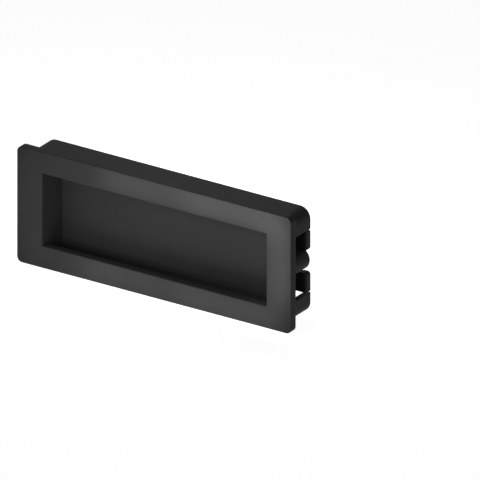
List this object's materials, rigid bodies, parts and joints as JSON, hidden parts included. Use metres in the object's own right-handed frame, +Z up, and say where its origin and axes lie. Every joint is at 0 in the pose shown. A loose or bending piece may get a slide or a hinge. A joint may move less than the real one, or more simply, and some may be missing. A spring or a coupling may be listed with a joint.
{
  "type": "recessed pull handle",
  "caption": "Flush rectangular finger pull for a panel: a flanged black moulding with an undercut pocket, held from behind by screws into brass threaded inserts.",
  "frame": {"origin": "centre of the panel seat, the back face of the flange, on the axis of the finger opening", "axes": "+X along the handle, +Y into the panel, away from the hand, +Z up"},
  "size_m": [0.11, 0.015, 0.0426],
  "materials": {
    "black_plastic": "fine moulded texture, matt",
    "brass": "turned and knurled, bare"
  },
  "bodies": {
    "root": {"housing": "black_plastic", "insert_left": "brass", "insert_right": "brass"}
  },
  "joints": []
}
